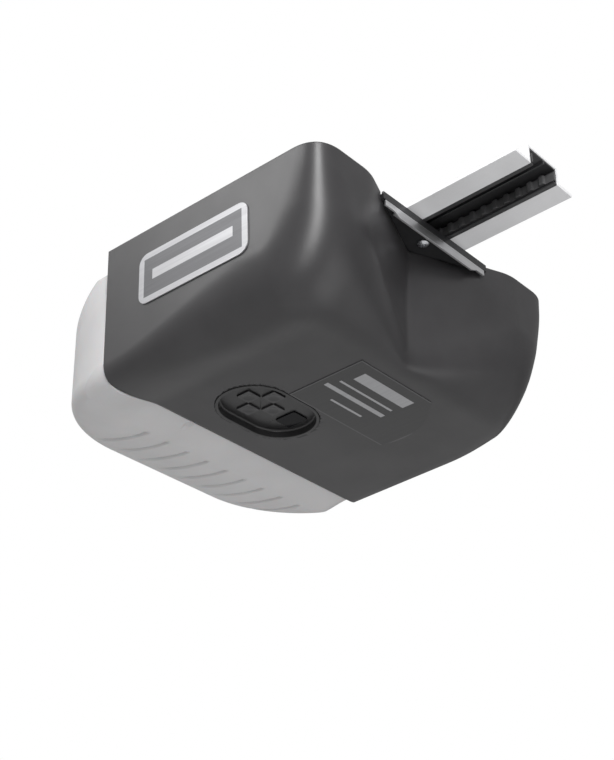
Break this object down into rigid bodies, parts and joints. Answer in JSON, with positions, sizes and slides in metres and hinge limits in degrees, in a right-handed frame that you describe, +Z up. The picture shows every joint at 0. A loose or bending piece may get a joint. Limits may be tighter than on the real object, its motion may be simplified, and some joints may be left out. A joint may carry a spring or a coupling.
{
  "type": "garage door opener",
  "caption": "Ceiling-hung garage door opener head with a recessed front for its belt rail, a hinged light lens and a control pad underneath.",
  "frame": {"origin": "centre of the four hanger holes, on the top face of the chassis plate", "axes": "+X along the rail towards the door, +Y across, +Z up towards the ceiling"},
  "size_m": [0.361, 0.2708, 0.1235],
  "materials": {
    "cover_plastic": "satin charcoal",
    "key_plastic": "satin charcoal",
    "zinc_plate": "zinc plated",
    "black_steel": "black powder coat",
    "rail_metal": "satin",
    "black_plastic": "satin black",
    "belt_rubber": "matt black",
    "gear_steel": "machined",
    "gear_plastic": "natural nylon",
    "cast_alloy": "die cast",
    "bronze": "sintered",
    "magnet": "ferrite",
    "lamination": "stacked steel",
    "copper": "turned copper",
    "carbon": "pressed carbon",
    "terminal_plastic": "green nylon",
    "coil_tape": "yellow tape over copper",
    "circuit_board": "green solder mask",
    "capacitor_sleeve": "dark sleeve",
    "aluminium": "extruded",
    "dark_window": "smoked, polished",
    "lens_plastic": "translucent, frosted",
    "white_plastic": "white",
    "bulb_cap": "nickel plated",
    "bulb_white": "opal",
    "badge_metal": "brushed",
    "label_film": "satin film"
  },
  "bodies": {
    "housing": {"belt_guide": "black_plastic", "board_capacitors": "capacitor_sleeve", "board_heatsink": "aluminium", "board_relays": "black_plastic", "board_screws": "zinc_plate", "bracket_screw": "zinc_plate", "bracket_strip": "zinc_plate", "bronze_bushes": "bronze", "bulb_base_left": "bulb_cap", "bulb_base_right": "bulb_cap", "bulb_globe_left": "bulb_white", "bulb_globe_right": "bulb_white", "chassis_plate": "black_steel", "clamp_bolts": "zinc_plate", "clamp_nuts": "zinc_plate", "control_pad": "cover_plastic", "cover_screws": "zinc_plate", "display_module": "black_plastic", "display_window": "dark_window", "drive_belt": "belt_rubber", "encoder_sensor": "black_plastic", "gearbox_housing": "cast_alloy", "gearbox_lid": "cast_alloy", "gearbox_screws": "zinc_plate", "hinge_rail": "black_plastic", "hinge_rod": "gear_steel", "housing_cover": "cover_plastic", "key_switches": "black_plastic", "lamp_socket_left": "white_plastic", "lamp_socket_right": "white_plastic", "logic_board": "circuit_board", "motor_brushes": "carbon", "motor_can": "zinc_plate", "motor_front_plate": "zinc_plate", "motor_magnets": "magnet", "power_gland": "black_plastic", "rail_bracket": "black_steel", "rail_clamp": "zinc_plate", "rail_section": "rail_metal", "rear_bulkhead": "white_plastic", "side_badge": "badge_metal", "step_pin": "gear_steel", "transformer_coil": "coil_tape", "transformer_core": "lamination", "under_label": "label_film", "wall_control_terminals": "terminal_plastic"},
    "lens": {"light_lens": "lens_plastic"},
    "rotor": {"motor_shaft": "gear_steel", "motor_armature": "lamination", "motor_commutator": "copper", "motor_pinion": "gear_steel", "encoder_disc": "black_plastic"},
    "step": {"step_gear": "gear_plastic"},
    "output": {"output_gear": "gear_plastic", "output_shaft": "gear_steel", "drive_pulley": "gear_steel"},
    "set_key": {"key_set": "key_plastic"},
    "up_key": {"key_up": "key_plastic"},
    "down_key": {"key_down": "key_plastic"},
    "select_key": {"key_select": "key_plastic"}
  },
  "joints": [
    {"name": "rotor_spin", "type": "hinge", "parent": "housing", "child": "rotor", "pos_m": [0.02322, 0.08069, -0.06], "axis": [0, 0, 1], "continuous": true},
    {"name": "step_gear_spin", "type": "hinge", "parent": "housing", "child": "step", "pos_m": [0.01669, 0.04361, -0.02], "axis": [0, 0, 1], "continuous": true},
    {"name": "output_spin", "type": "hinge", "parent": "housing", "child": "output", "pos_m": [0.005, 0, -0.01], "axis": [0, 0, 1], "continuous": true},
    {"name": "lens_hinge", "type": "hinge", "parent": "housing", "child": "lens", "pos_m": [-0.101, 0, -0.0046], "axis": [0, 1, 0], "range_deg": [0, 65]},
    {"name": "set_press", "type": "slide", "parent": "housing", "child": "set_key", "axis": [0, 0, 1], "range_m": [0, 0.0007], "stiffness_N_per_m": 900, "springref_m": -0.0002},
    {"name": "up_press", "type": "slide", "parent": "housing", "child": "up_key", "axis": [0, 0, 1], "range_m": [0, 0.0007], "stiffness_N_per_m": 900, "springref_m": -0.0002},
    {"name": "down_press", "type": "slide", "parent": "housing", "child": "down_key", "axis": [0, 0, 1], "range_m": [0, 0.0007], "stiffness_N_per_m": 900, "springref_m": -0.0002},
    {"name": "select_press", "type": "slide", "parent": "housing", "child": "select_key", "axis": [0, 0, 1], "range_m": [0, 0.0007], "stiffness_N_per_m": 900, "springref_m": -0.0002}
  ],
  "couplings": [
    {"joint": "step_gear_spin", "follows": "rotor_spin", "ratio": -0.25},
    {"joint": "output_spin", "follows": "rotor_spin", "ratio": 0.05}
  ]
}
